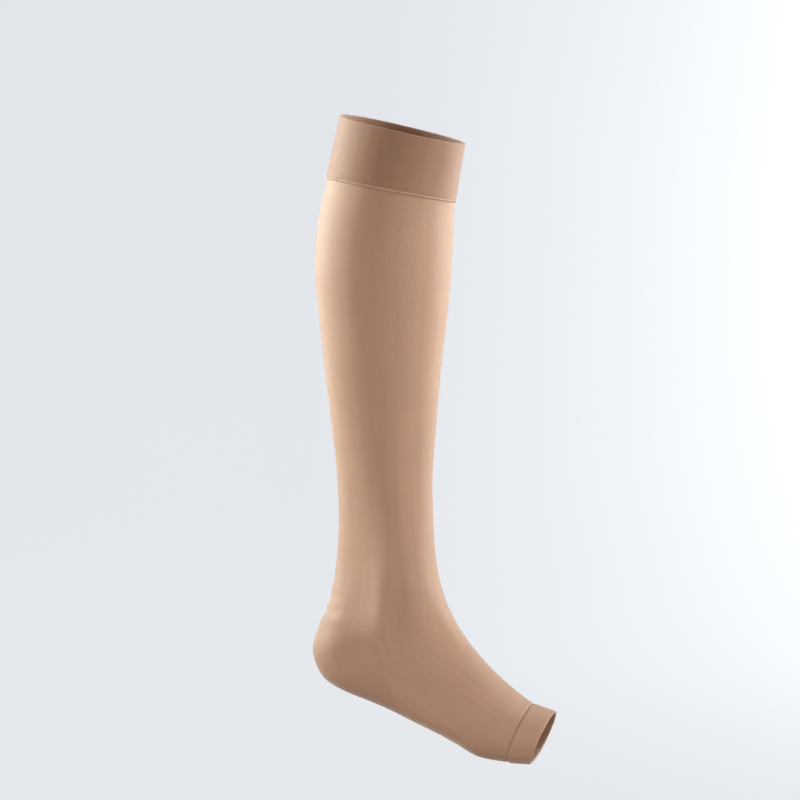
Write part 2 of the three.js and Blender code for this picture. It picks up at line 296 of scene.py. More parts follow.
def new_piece(name, bm, materials):
    """Turns a bmesh into a named, smoothly shaded object."""
    for face in bm.faces:
        face.smooth = True
    for edge in bm.edges:
        edge.smooth = not edge.is_boundary  # so that the wall's rim doesn't tilt the light beside a seam
    mesh = bpy.data.meshes.new(name)
    bm.to_mesh(mesh)
    bm.free()
    if mesh.uv_layers:
        mesh.uv_layers[0].name = UV_MAP
    for material in materials:
        mesh.materials.append(material)
    piece = bpy.data.objects.new(name, mesh)
    bpy.context.scene.collection.objects.link(piece)
    return piece


def give_wall(piece, thickness):
    """Gives a shell its thickness, inwards, with the knit's reverse side on the inside."""
    wall = piece.modifiers.new("Wall", "SOLIDIFY")
    wall.thickness = thickness
    wall.offset = -1
    wall.use_even_offset = True
    wall.material_offset = 1
    wall.material_offset_rim = 0


def as_knit(piece, replaces=None):
    """Puts a cloth piece on the frame's root body, and hides the model's part that it stands for."""
    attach(piece, "root")
    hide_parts(replaces)


def as_trim(piece):
    """Puts a thread or a seam on the frame's root body."""
    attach(piece, "root")


# Materials

# Patterns that fill the space round the stocking, in waves to the metre
UNEVEN_YARN = 240.0  # about 4 mm from one full stitch to the next
DYE_PATCHES = 38.0  # about 26 mm
PLIES = 900.0  # about 1 mm, because the real 0.2 mm is far under a pixel
ACRYLIC_CLOUDS = 0.8  # over a metre
SANDED_GRAIN = 260.0  # about 4 mm, because the real grit is far under a pixel
STREAK_WALES = 4  # wales across one streak of tighter or slacker yarn
STREAKS_DOWN = 9.0  # to the metre, so about 110 mm long
SHEEN_TINT = 0xFFF1E5


def linear(hex_colour):
    """An sRGB hex colour as linear red, green, blue and alpha."""
    channels = [(hex_colour >> shift & 0xFF) / 255 for shift in (16, 8, 0)]
    return (*(c / 12.92 if c <= 0.04045 else ((c + 0.055) / 1.055) ** 2.4 for c in channels), 1.0)


def add_node(tree, kind, values=None, links=None, **settings):
    """Adds a node with its settings, the values of its sockets and the links into them."""
    node = tree.nodes.new(kind)
    for name, value in settings.items():
        setattr(node, name, value)
    for socket, value in (values or {}).items():
        node.inputs[socket].default_value = value
    for socket, source in (links or {}).items():
        tree.links.new(source, node.inputs[socket])
    return node


def new_material(name):
    """An empty node material and its tree."""
    material = bpy.data.materials.new(name)
    material.use_nodes = True
    material.node_tree.nodes.clear()
    return material, material.node_tree


def shaded(colour, share):
    """A linear colour made darker or lighter by a share."""
    return (*(channel * share for channel in colour[:3]), 1.0)


# Textured polyamide over an elastane core, knitted plain on a fine circular machine. To the eye it is matt
# and even, with fine upright wales, a low warm sheen that lightens it at grazing angles, and faint streaks
# along the wales where the yarn's tension varies. The real wales are 0.6 to 0.9 mm apart, which is under one
# pixel of the picture, so they are drawn about twice as coarse.
def knit_material(name, colour, wales, course, depth, reverse=False, sheen=0.45, roughness=0.62):
    """A plain knit. wales are counted all round the tube, course is the height of a stitch, and depth is how
    far the stitches stand up."""
    material, tree = new_material(name)
    place = add_node(tree, "ShaderNodeUVMap", uv_map=UV_MAP).outputs["UV"]
    solid = add_node(tree, "ShaderNodeTexCoord").outputs["Object"]
    stitch_scale = {"Scale": (wales, 1 / course, 1)}
    stitches = add_node(tree, "ShaderNodeMapping", stitch_scale, {"Vector": place})
    split = add_node(tree, "ShaderNodeSeparateXYZ", links={"Vector": stitches.outputs["Vector"]})
    unevenness = add_node(
        tree, "ShaderNodeTexNoise", {"Scale": UNEVEN_YARN, "Detail": 2.0}, {"Vector": solid}
    )

    # across is 0 between two wales and 1 in the middle of a wale
    folded = add_node(tree, "ShaderNodeMath", {1: 0.5}, {0: split.outputs["X"]}, operation="PINGPONG")
    across = add_node(tree, "ShaderNodeMath", {1: 2.0}, {0: folded.outputs[0]}, operation="MULTIPLY")
    # slanted counts the courses, and on the knit's face it rises up each leg of a stitch
    slant = {1: 0.0 if reverse else 0.55}
    slant_links = {0: across.outputs[0], 2: split.outputs["Y"]}
    slanted = add_node(tree, "ShaderNodeMath", slant, slant_links, operation="MULTIPLY_ADD")
    wander_links = {0: unevenness.outputs["Fac"], 2: slanted.outputs[0]}
    wandering = add_node(tree, "ShaderNodeMath", {1: 0.8}, wander_links, operation="MULTIPLY_ADD")
    course_fold = add_node(tree, "ShaderNodeMath", {1: 0.5}, {0: wandering.outputs[0]}, operation="PINGPONG")
    legs_angle = add_node(tree, "ShaderNodeMath", {1: math.pi}, {0: across.outputs[0]}, operation="MULTIPLY")
    legs = add_node(tree, "ShaderNodeMath", links={0: legs_angle.outputs[0]}, operation="SINE")
    # The face shows the two legs of each wale, and the reverse shows rows of round loops
    by_course = {1: 1.3, 2: 0.35} if reverse else {1: 0.8, 2: 0.6}
    by_wale = {1: 0.3, 2: 0.7} if reverse else {1: 0.85, 2: 0.15}
    rows = add_node(tree, "ShaderNodeMath", by_course, {0: course_fold.outputs[0]}, operation="MULTIPLY_ADD")
    ribs = add_node(tree, "ShaderNodeMath", by_wale, {0: legs.outputs[0]}, operation="MULTIPLY_ADD")
    height_links = {0: rows.outputs[0], 1: ribs.outputs[0]}
    height = add_node(tree, "ShaderNodeMath", links=height_links, operation="MULTIPLY")

    # The colour is darker between the stitches, which is painted shade, and varies in streaks down the wales
    # and in soft patches
    streak_scale = {"Scale": (wales / STREAK_WALES, STREAKS_DOWN, 1)}
    streak_place = add_node(tree, "ShaderNodeMapping", streak_scale, {"Vector": place})
    streak_links = {"Vector": streak_place.outputs["Vector"]}
    streaks = add_node(tree, "ShaderNodeTexNoise", {"Scale": 1.0, "Detail": 1.5}, streak_links)
    mottle = add_node(tree, "ShaderNodeTexNoise", {"Scale": DYE_PATCHES, "Detail": 3.0}, {"Vector": solid})
    painted_shade_by_height = {1: 0.15, 2: 0.79}
    tone = add_node(tree, "ShaderNodeMath", painted_shade_by_height, {0: height.outputs[0]}, operation="MULTIPLY_ADD")
    streak_links = {0: streaks.outputs["Fac"], 2: tone.outputs[0]}
    streaked = add_node(tree, "ShaderNodeMath", {1: 0.14}, streak_links, operation="MULTIPLY_ADD")
    mottle_links = {0: mottle.outputs["Fac"], 2: streaked.outputs[0]}
    mottled = add_node(tree, "ShaderNodeMath", {1: 0.10}, mottle_links, operation="MULTIPLY_ADD")
    yarn_colour, share = {0: colour[:3]}, {"Scale": mottled.outputs[0]}
    dyed = add_node(tree, "ShaderNodeVectorMath", yarn_colour, share, operation="SCALE")
    rough = {1: 0.16, 2: roughness - 0.08}
    worn = add_node(tree, "ShaderNodeMath", rough, {0: mottle.outputs["Fac"]}, operation="MULTIPLY_ADD")
    raised = add_node(tree, "ShaderNodeBump", {"Distance": depth}, {"Height": height.outputs[0]})
    yarn = add_node(
        tree, "ShaderNodeBsdfPrincipled",
        {
            "IOR": 1.53, "Specular IOR Level": 0.3,
            "Sheen Weight": sheen, "Sheen Roughness": 0.3, "Sheen Tint": linear(SHEEN_TINT),
        },
        {"Base Color": dyed.outputs[0], "Roughness": worn.outputs[0], "Normal": raised.outputs["Normal"]},
    )
    add_node(tree, "ShaderNodeOutputMaterial", links={"Surface": yarn.outputs["BSDF"]})
    return material


# Spun polyester sewing thread and knitting yarn, dyed near the cloth's own colour. It is softly shiny, and
# only a fine change of light along it shows its plies: a bump, and painted light and shade in its colour.
def thread_material(name, colour):
    """Thread or yarn that lies on the cloth."""
    material, tree = new_material(name)
    solid = add_node(tree, "ShaderNodeTexCoord").outputs["Object"]
    plies = add_node(tree, "ShaderNodeTexNoise", {"Scale": PLIES, "Detail": 1.0}, {"Vector": solid})
    painted_ply_shade = {1: 0.3, 2: 0.85}
    tone = add_node(tree, "ShaderNodeMath", painted_ply_shade, {0: plies.outputs["Fac"]}, operation="MULTIPLY_ADD")
    yarn_colour, share = {0: colour[:3]}, {"Scale": tone.outputs[0]}
    dyed = add_node(tree, "ShaderNodeVectorMath", yarn_colour, share, operation="SCALE")
    raised = add_node(tree, "ShaderNodeBump", {"Distance": 0.05 * MM}, {"Height": plies.outputs["Fac"]})
    yarn = add_node(
        tree, "ShaderNodeBsdfPrincipled",
        {"IOR": 1.55, "Roughness": 0.5, "Sheen Weight": 0.2, "Sheen Roughness": 0.4},
        {"Base Color": dyed.outputs[0], "Normal": raised.outputs["Normal"]},
    )
    add_node(tree, "ShaderNodeOutputMaterial", links={"Surface": yarn.outputs["BSDF"]})
    return material


# Opal acrylic sheet on a seamless studio cove, sanded matt. It is pale and even, with a fine sanded grain,
# and its brightness is painted light: the sheet glows, with faint cloudy changes in that painted glow.
def cove_material(name, colour):
    """The pale floor and wall, which glow with painted light."""
    material, tree = new_material(name)
    solid = add_node(tree, "ShaderNodeTexCoord").outputs["Object"]
    patches = add_node(
        tree, "ShaderNodeTexNoise", {"Scale": ACRYLIC_CLOUDS, "Detail": 2.0}, {"Vector": solid}
    )
    grain = add_node(tree, "ShaderNodeTexNoise", {"Scale": SANDED_GRAIN, "Detail": 2.0}, {"Vector": solid})
    painted_glow_by_patch = {1: 0.05, 2: 0.975}
    tone = add_node(tree, "ShaderNodeMath", painted_glow_by_patch, {0: patches.outputs["Fac"]}, operation="MULTIPLY_ADD")
    sheet_colour, share = {0: colour[:3]}, {"Scale": tone.outputs[0]}
    painted_glow_colour = add_node(tree, "ShaderNodeVectorMath", sheet_colour, share, operation="SCALE")
    # A painted pool of light makes the glow softly brighter on one side
    painted_pool_size = {"Location": PAINTED_POOL_AT, "Scale": (PAINTED_POOL_REACH,) * 3}
    painted_pool_place = add_node(tree, "ShaderNodeMapping", painted_pool_size, {"Vector": solid}, vector_type="TEXTURE")
    painted_pool_links = {"Vector": painted_pool_place.outputs["Vector"]}
    painted_pool = add_node(tree, "ShaderNodeTexGradient", links=painted_pool_links, gradient_type="QUADRATIC_SPHERE")
    painted_glow_values = {1: PAINTED_POOL_GLOW, 2: COVE_PAINTED_GLOW}
    glow = add_node(tree, "ShaderNodeMath", painted_glow_values, {0: painted_pool.outputs["Fac"]}, operation="MULTIPLY_ADD")
    raised = add_node(tree, "ShaderNodeBump", {"Distance": 0.05 * MM}, {"Height": grain.outputs["Fac"]})
    # The sheet's glow is painted light, given as emission
    sheet = add_node(
        tree, "ShaderNodeBsdfPrincipled", {"Base Color": shaded(colour, 0.5), "Roughness": 0.9},
        {
            "Emission Color": painted_glow_colour.outputs[0], "Emission Strength": glow.outputs[0],
            "Normal": raised.outputs["Normal"],
        },
    )
    add_node(tree, "ShaderNodeOutputMaterial", links={"Surface": sheet.outputs["BSDF"]})
    return material


# Settings that a user would change

def length(name, description, millimetres):
    """A length property."""
    return FloatProperty(
        name=name, description=description, default=millimetres * MM, min=0.0, soft_max=0.05, unit="LENGTH",
        precision=5,
    )


def dye(name, description, hex_colour):
    """A colour property."""
    return FloatVectorProperty(
        name=name, description=description, subtype="COLOR", size=4, min=0.0, max=1.0,
        default=linear(hex_colour),
    )


class StockingSizes(bpy.types.PropertyGroup):
    """Sizes of the cloth and its seams."""

    knit: length("Knit thickness", "Thickness of the single knit", 0.9)
    band_proud: length("Band proud", "How far the top band stands out from the leg", 1.2)
    band_wall: length("Band thickness", "Thickness of the doubled top band", 2.2)
    toe_proud: length("Toe band proud", "How far the toe band stands out from the foot", 0.5)
    toe_wall: length("Toe band thickness", "Thickness of the turned toe band", 1.9)
    ridge_wide: length("Band seam width", "Width of the raised seam under the top band", 2.2)
    ridge_high: length("Band seam height", "Height of the raised seam under the top band", 0.68)
    thread: length("Thread", "Thickness of the sewing thread", 0.42)
    course: length("Course", "Height of one row of stitches", 1.5)
    wales: IntProperty(name="Wales", description="Wales all round the stocking", default=160, min=40, max=600)


class StockingColours(bpy.types.PropertyGroup):
    """Colours of the yarns."""

    leg: dye("Leg and foot", "Yarn of the leg and foot", 0xBC9377)
    band: dye("Top band", "Yarn of the top band", 0xA67D63)
    heel: dye("Heel pouch", "Yarn of the heel pouch", 0xB89074)
    # lighter than the leg's yarn, partly its own colour and partly painted light on the well-lit forefoot
    toe: dye("Toe band", "Yarn of the toe band", 0xBF967A)
    inside: dye("Inside", "The knit's reverse side", 0xA8856B)
    # lighter than the cloth, partly its own dye and partly a painted highlight along the seam's ridge
    thread: dye("Sewing thread", "Thread of the seams", 0xDDB9A1)
    # also the colour of the cove's painted glow
    cove: dye("Studio cove", "Acrylic of the floor and wall", 0xE4E8EC)


# Cloth pieces

BAND_TUCK_REACH = 2.0 * MM  # along the cloth, where the leg turns in under the band seam
BAND_TUCK_DEPTH = 0.15 * MM
TOE_TUCK_REACH = 1.1 * MM  # along the cloth, where both sides of the toe seam turn in
TOE_TUCK_DEPTH = 0.7 * MM

# Rows of the leg and foot, as (distance down the tube, longest row). They are finer over the ankle and the
# foot than over the calf, and finest beside the two seams.
LEG_SPANS = [
    (BAND_SEAM + 8 * MM, 0.9 * MM),
    (0.335, 4.0 * MM),
    (0.362, 2.6 * MM),
    (TOE_SEAM - 5 * MM, 2.1 * MM),
    (TOE_SEAM, 0.6 * MM),
]


def tuck(apart, reach, depth):
    """How far the cloth turns in at a distance from a seam."""
    return -depth * math.exp(-((apart / reach) ** 2))


def tube_shell():
    """The whole knitted tube from the band seam to the toe seam, as one shell cut along both gore lines."""
    bm = bmesh.new()
    alongs = stations(BAND_SEAM, LEG_SPANS)

    def place(turn, row):
        along = alongs[row]
        under_band = tuck(along - BAND_SEAM, BAND_TUCK_REACH, BAND_TUCK_DEPTH)
        at_toe = tuck(TOE_SEAM - along, TOE_TUCK_REACH, TOE_TUCK_DEPTH)
        return on_tube(turn, along, under_band + at_toe)[0]

    wrapped_grid(bm, AROUND, len(alongs) - 1, place, alongs)
    for normal in gore_normals():
        everything = [*bm.verts, *bm.edges, *bm.faces]
        bmesh.ops.bisect_plane(bm, geom=everything, dist=SAME_PLACE, plane_co=GORE_CORNER, plane_no=normal)
    return bm


def gore_directions():
    """The upper and the lower gore line's direction, away from their corner."""
    return (UPPER_GORE_THROUGH - GORE_CORNER).normalized(), (LOWER_GORE_THROUGH - GORE_CORNER).normalized()


def gore_normals():
    """The normals of the two gore planes, both out of the heel pouch."""
    upper, lower = gore_directions()
    sideways = Vector((0, 1, 0))
    normals = []
    for line, other in ((upper, lower), (lower, upper)):
        normal = line.cross(sideways).normalized()
        normals.append(-normal if normal.dot(other) > 0 else normal)
    return normals


def in_heel(point):
    """Whether a point is between the gore planes."""
    return all((point - GORE_CORNER).dot(normal) < 0 for normal in gore_normals())


def keep_faces(bm, wanted):
    """Deletes the faces that wanted turns down."""
    unwanted = [face for face in bm.faces if not wanted(face.calc_center_median())]
    bmesh.ops.delete(bm, geom=unwanted, context="FACES")


HEM_FINE = 6 * MM  # how far from its seam a doubled cloth has fine rows
HEM_FINE_ROW = 0.6 * MM
HEM_ROW = 2.4 * MM
FOLD_STEPS = 10


def hem_profile(start, end, outside, inside, fold_at_start):
    """The run of a doubled cloth from its seam up the outside, round the fold and back down the inside, as
    (along, offset) pairs. start is nearer the top."""
    radius = (outside - inside) / 2
    middle = (outside + inside) / 2
    seam, fold = (end, start + radius) if fold_at_start else (start, end - radius)
    away = -1 if fold_at_start else 1
    near = stations(0, [(HEM_FINE, HEM_FINE_ROW)])
    far = stations(HEM_FINE, [(abs(fold - seam), HEM_ROW)])
    outer = [(seam + away * run, outside) for run in near + far[1:]]
    bends = [math.pi * (i + 1) / FOLD_STEPS for i in range(FOLD_STEPS - 1)]
    turned = [(fold + away * radius * math.sin(a), middle + radius * math.cos(a)) for a in bends]
    inner = [(along, inside) for along, _ in reversed(outer)]
    return outer + turned + inner


def hem_shell(profile, seam, shoulder, seam_offset):
    """A doubled cloth as one folded shell, which rounds over its shoulder to the seam's offset."""
    bm = bmesh.new()
    run = [0.0]
    for (along, offset), (next_along, next_offset) in zip(profile, profile[1:]):
        run.append(run[-1] + math.hypot(next_along - along, next_offset - offset))
    outside = profile[0][1]

    def place(turn, row):
        along, offset = profile[row]
        if offset == outside:
            rounded = math.exp(-((abs(along - seam) / shoulder) ** 2))
            offset += (seam_offset - outside) * rounded
        return on_tube(turn, along, offset)[0]

    wrapped_grid(bm, AROUND, len(profile) - 1, place, run)
    return bm


# Shares of the leg's knit. The heel and both bands have lower stitches, and the toe band is thinner.
HEEL_COURSE = 0.8
BAND_COURSE = 0.7
TOE_COURSE = 0.8
TOE_THICKNESS = 0.85


def reverse_side(name, sizes, colours, depth):
    """The knit's reverse side, which shows inside the stocking."""
    return knit_material(name, colours.inside, sizes.wales, sizes.course, depth, reverse=True)


class STOCKING_OT_leg_and_foot(bpy.types.Operator):
    """Make the seamless tube of the leg and foot"""

    bl_idname = "stocking.leg_and_foot"
    bl_label = "Leg and Foot"

    def execute(self, context):
        sizes, colours = context.scene.stocking_sizes, context.scene.stocking_colours
        bm = tube_shell()
        keep_faces(bm, lambda point: not in_heel(point))
        face = knit_material("Fine Circular Knit", colours.leg, sizes.wales, sizes.course, depth=0.12 * MM)
        inside = reverse_side("Knit Reverse Side", sizes, colours, depth=0.3 * MM)
        piece = new_piece("Leg_And_Foot", bm, [face, inside])
        give_wall(piece, sizes.knit)
        # Off the leg the tube lies 282 mm round at its widest and tapers to 176 mm
        as_knit(piece, replaces="leg_and_foot")
        return {"FINISHED"}


class STOCKING_OT_heel_pouch(bpy.types.Operator):
    """Make the knitted heel pouch"""

    bl_idname = "stocking.heel_pouch"
    bl_label = "Heel Pouch"

    def execute(self, context):
        sizes, colours = context.scene.stocking_sizes, context.scene.stocking_colours
        bm = tube_shell()
        keep_faces(bm, in_heel)
        course = sizes.course * HEEL_COURSE
        face = knit_material("Heel Knit", colours.heel, sizes.wales, course, depth=0.15 * MM, roughness=0.66)
        inside = reverse_side("Heel Reverse Side", sizes, colours, depth=0.3 * MM)
        piece = new_piece("Heel_Pouch", bm, [face, inside])
        give_wall(piece, sizes.knit)
        # Laid flat the pouch narrows from 150 mm round its widest row to its two corners
        as_knit(piece, replaces="heel_pouch")
        return {"FINISHED"}


class STOCKING_OT_top_band(bpy.types.Operator):
    """Make the doubled top band"""

    bl_idname = "stocking.top_band"
    bl_label = "Top Band"

    def execute(self, context):
        sizes, colours = context.scene.stocking_sizes, context.scene.stocking_colours
        underside = sizes.band_proud - sizes.band_wall
        profile = hem_profile(0, BAND_SEAM, sizes.band_proud, underside, fold_at_start=True)
        bm = hem_shell(profile, BAND_SEAM, shoulder=1.0 * MM, seam_offset=0.7 * MM)
        bmesh.ops.reverse_faces(bm, faces=bm.faces)
        course = sizes.course * BAND_COURSE
        face = knit_material(
            "Band Knit", colours.band, sizes.wales, course, depth=0.10 * MM, sheen=0.6, roughness=0.68,
        )
        inside = reverse_side("Band Reverse Side", sizes, colours, depth=0.2 * MM)
        piece = new_piece("Top_Band", bm, [face, inside])
        give_wall(piece, sizes.knit)
        # Unfolded the band is a strip 92 mm high
        as_knit(piece, replaces="top_band")
        return {"FINISHED"}


class STOCKING_OT_toe_band(bpy.types.Operator):
    """Make the turned band round the toe opening"""

    bl_idname = "stocking.toe_band"
    bl_label = "Toe Band"

    def execute(self, context):
        sizes, colours = context.scene.stocking_sizes, context.scene.stocking_colours
        underside = sizes.toe_proud - sizes.toe_wall
        profile = hem_profile(TOE_SEAM, TUBE_LENGTH, sizes.toe_proud, underside, fold_at_start=False)
        bm = hem_shell(profile, TOE_SEAM, shoulder=TOE_TUCK_REACH, seam_offset=-TOE_TUCK_DEPTH)
        course = sizes.course * TOE_COURSE
        face = knit_material(
            "Toe Band Knit", colours.toe, sizes.wales, course, depth=0.14 * MM, roughness=0.66
        )
        inside = reverse_side("Toe Band Reverse Side", sizes, colours, depth=0.2 * MM)
        piece = new_piece("Toe_Band", bm, [face, inside])
        give_wall(piece, sizes.knit * TOE_THICKNESS)
        # Unturned the band is the last 36 mm of the tube
        as_knit(piece, replaces="toe_band")
        return {"FINISHED"}


# Seams

RIDGE_BASE = 0.45 * MM  # how far outside the tube the middle of the rolled edge lies
RIDGE_AROUND = 432  # the rolled edge's faces round the tube
RIDGE_STEPS = 10  # the faces round its section
RIDGE_COURSE = 0.5  # the share of its section that a stitch takes, because its UV map runs once round that
OVERLOCK_STITCHES = 196  # round the band seam, 1.6 mm apart
OVERLOCK_SLANT = math.radians(24)
COVER_STITCHES = 112  # round the toe seam, 2 mm apart
COVER_DEPTH = 0.75 * MM  # how far the toe seam's thread is sunk
GORE_STITCH_SPACING = 1.9 * MM
GORE_STITCHED = 40 * MM  # how far from their corner the gore lines show their loops
GORE_SLANT = math.radians(50)
GORE_LOOP_SUNK = 0.25 * MM
GORE_NEAR = 0.01 * MM  # vertices nearer to a gore plane than this lie on it


def ridge(bm, seam, wide, high):
    """A rolled edge of cloth round the tube, an uneven ring that the seam's thread wraps."""

    def place(turn, row):
        angle = 2 * math.pi * row / RIDGE_STEPS
        # 23 longer and 41 shorter lumps go round the tube
        lumps = 1 + 0.12 * math.sin(2 * math.pi * 23 * turn + 1) + 0.10 * math.sin(2 * math.pi * 41 * turn)
        along = seam - wide / 2 * math.cos(angle)
        return on_tube(turn, along, RIDGE_BASE + high * lumps * math.sin(angle))[0]

    wrapped_grid(bm, RIDGE_AROUND, RIDGE_STEPS, place, closed_section=True)


def thread_arch(span, rise, thickness, steps=8, sides=6):
    """One stitch of round thread as a closed mesh: half a ring over the cloth, along X and out along Z."""
    bm = bmesh.new()
    section = bmesh.ops.create_circle(
        bm, cap_ends=False, segments=sides, radius=thickness / 2, matrix=Matrix.Translation((span / 2, 0, 0)),
    )
    bmesh.ops.spin(
        bm, geom=[*section["verts"], *bm.edges], cent=(0, 0, 0), axis=(0, -1, 0), angle=math.pi, steps=steps,
        use_merge=False, use_duplicate=False,
    )
    bmesh.ops.holes_fill(bm, edges=[edge for edge in bm.edges if edge.is_boundary], sides=sides)
    bmesh.ops.scale(bm, vec=(1, 1, rise / (span / 2)), verts=bm.verts)
    bmesh.ops.recalc_face_normals(bm, faces=bm.faces)
    mesh = bpy.data.meshes.new("Stitch")
    bm.to_mesh(mesh)
    bm.free()
    return mesh


def add_stitches(bm, stitch, places):
    """Copies a stitch to each place, a matrix."""
    for place in places:
        known = len(bm.verts)
        bm.from_mesh(stitch)
        bm.verts.ensure_lookup_table()
        bmesh.ops.transform(bm, matrix=place, verts=bm.verts[known:])


def standing_at(point, along_cloth, outward, turned=0.0):
    """A matrix at a point, with X along the cloth, Z outwards, and a turn about Z."""
    x = (along_cloth - outward * along_cloth.dot(outward)).normalized()
    y = outward.cross(x)
    place = Matrix((x, y, outward)).transposed().to_4x4()
    place.translation = point
    return place @ Matrix.Rotation(turned, 4, "Z")


def uneven(i, spread):
    """A small number that differs from stitch to stitch, the same on each run."""
    return spread * (math.sin(i * 12.9898) * 0.6 + math.sin(i * 4.137 + 1.3) * 0.4)


class STOCKING_OT_band_seam(bpy.types.Operator):
    """Make the overlocked seam between the top band and the leg"""

    bl_idname = "stocking.band_seam"
    bl_label = "Band Seam"

    def execute(self, context):
        sizes, colours = context.scene.stocking_sizes, context.scene.stocking_colours
        bm = bmesh.new()
        ridge(bm, BAND_SEAM, sizes.ridge_wide, sizes.ridge_high)
        rolled = knit_material(
            "Seam Knit", colours.leg, sizes.wales * 2, RIDGE_COURSE, depth=0.05 * MM, roughness=0.6,
        )
        as_trim(new_piece("Band_Seam_Ridge", bm, [rolled]))

        places = []
        for i in range(OVERLOCK_STITCHES):
            turn = i / OVERLOCK_STITCHES
            point, outward = on_tube(turn, BAND_SEAM, RIDGE_BASE + 0.05 * MM)
            down = on_tube(turn, BAND_SEAM + MM)[0] - on_tube(turn, BAND_SEAM - MM)[0]
            place = standing_at(point, down, outward, OVERLOCK_SLANT + uneven(i, 0.16))
            places.append(place @ Matrix.Diagonal((1 + uneven(i + 7, 0.1), 1, 1 + uneven(i + 3, 0.12), 1)))
        bm = bmesh.new()
        # A stitch reaches over the whole rolled edge, and a little past it on both sides
        add_stitches(bm, thread_arch(sizes.ridge_wide * 1.15, sizes.ridge_high, sizes.thread), places)
        overlock = thread_material("Overlock Thread", colours.thread)
        as_trim(new_piece("Band_Seam_Thread", bm, [overlock]))
        return {"FINISHED"}


def gore_edge(heel, line, normal, side):
    """The heel pouch's edge along a gore line, on one side of the foot, as sorted (distance from the corner,
    point, normal)."""
    edge = []
    for vertex in heel.data.vertices:
        offset = vertex.co - GORE_CORNER
        on_line = abs(offset.dot(normal)) < GORE_NEAR and 0 < offset.dot(line) < GORE_STITCHED
        if on_line and vertex.co.y * side > 4 * MM:
            edge.append((offset.dot(line), vertex.co.copy(), vertex.normal.copy()))
    return sorted(edge)


def stitches_along(edge):
    """Places for stitches along a line of (distance, point, normal), each slanted across it."""
    places, wanted = [], edge[0][0] + GORE_STITCH_SPACING / 2
    for (d0, p0, n0), (d1, p1, n1) in zip(edge, edge[1:]):
        while d1 > d0 and wanted <= d1:
            share = (wanted - d0) / (d1 - d0)
            outward = n0.lerp(n1, share).normalized()
            point = p0.lerp(p1, share) - outward * GORE_LOOP_SUNK
            places.append(standing_at(point, p1 - p0, outward, GORE_SLANT + uneven(len(places), 0.12)))
            wanted += GORE_STITCH_SPACING
    return places


class STOCKING_OT_heel_gores(bpy.types.Operator):
    """Make the row of linked stitches along each gore line of the heel"""

    bl_idname = "stocking.heel_gores"
    bl_label = "Heel Gores"

    def execute(self, context):
        colours = context.scene.stocking_colours
        heel = bpy.data.objects.get("Heel_Pouch")
        if heel is None:
            raise RuntimeError("the heel pouch isn't made yet")
        places = []
        for line, normal in zip(gore_directions(), gore_normals()):
            for side in (-1, 1):
                places += stitches_along(gore_edge(heel, line, normal, side))
        bm = bmesh.new()
        add_stitches(bm, thread_arch(span=1.5 * MM, rise=0.22 * MM, thickness=0.4 * MM, steps=6), places)
        yarn = thread_material("Knitting Yarn", colours.heel)
        as_trim(new_piece("Heel_Gore_Loops", bm, [yarn]))
        return {"FINISHED"}


class STOCKING_OT_toe_seam(bpy.types.Operator):
    """Make the sunk stitches that hold the turned toe band"""

    bl_idname = "stocking.toe_seam"
    bl_label = "Toe Seam"

    def execute(self, context):
        sizes, colours = context.scene.stocking_sizes, context.scene.stocking_colours
        places = []
        for i in range(COVER_STITCHES):
            turn = (i + 0.5) / COVER_STITCHES
            point, outward = on_tube(turn, TOE_SEAM, -COVER_DEPTH)
            round_cloth = on_tube(turn + TURN_STEP, TOE_SEAM)[0] - on_tube(turn - TURN_STEP, TOE_SEAM)[0]
            places.append(standing_at(point, round_cloth, outward, uneven(i, 0.08)))
        bm = bmesh.new()
        add_stitches(bm, thread_arch(span=1.5 * MM, rise=0.3 * MM, thickness=sizes.thread, steps=6), places)
        # The sunk thread is a darker copy of the toe band's colour, which paints in the shade of its groove
        cover = thread_material("Cover Stitch Thread", shaded(colours.toe, 0.8))
        as_trim(new_piece("Toe_Seam_Thread", bm, [cover]))
        return {"FINISHED"}


# Stage

CAMERA_EYE = (0.3365, -2.4106, 0.0645)
CAMERA_TARGET = (-0.00233, 0.0, -0.2128)
CAMERA_LENS = 140.0  # mm
CAMERA_SENSOR = 36.0  # mm
COVE_FLOOR = -1.0
COVE_RADIUS = 4.4
COVE_BEND = 1.4  # radius of the sweep from floor to wall
COVE_TOP = 2.6
COVE_BEND_STEPS = 12
COVE_AROUND = 64

# wide and high are a lamp's size in metres, spread is the angle in degrees that the grid on its front leaves,
# and power is in watts
LAMPS = table(("name", "at", "facing", "wide", "high", "spread", "power", "colour"), [
    ("Side Strip Left", (-1.09, 0.10, 0.23), (0, 0, -0.05), 0.40, 0.8, 58, 3.25, 0xE9FBFF),
    ("Rear Strip Left", (-0.87, 0.67, 0.08), (0, 0, -0.10), 0.30, 1.0, 150, 4.55, 0xE9FBFF),
    ("Side Strip Right", (1.09, 0.14, 0.05), (0, 0, 0.03), 0.30, 0.9, 70, 2.05, 0xF4FEFF),
    ("Rear Strip Right", (0.74, 0.82, 0.05), (0, 0, 0.03), 0.30, 0.9, 70, 2.1, 0xF4FEFF),
    ("Front Fill", (0.06, -0.70, -0.34), (0.02, 0, -0.32), 0.40, 0.40, 90, 0.34, 0xFFFAFA),
])
AMBIENT = 0.545  # soft light from all round
AMBIENT_BELOW = 0.48  # the share of it that comes straight up
AMBIENT_COLOUR = 0xFFFAFA
COVE_PAINTED_GLOW = 0.73  # painted light: how brightly the cove glows, though it is no lamp
PAINTED_POOL_GLOW = 2.9  # how much brighter the painted glow is in the middle of its painted pool of light
# Middle and reach of the cove's painted pool of light
PAINTED_POOL_AT = (2.2, 3.6, 0.1)
PAINTED_POOL_REACH = 3.1


def aimed(eye, target):
    """The turn that points a camera or a lamp from one place at another."""
    return (Vector(target) - Vector(eye)).to_track_quat("-Z", "Y").to_euler()


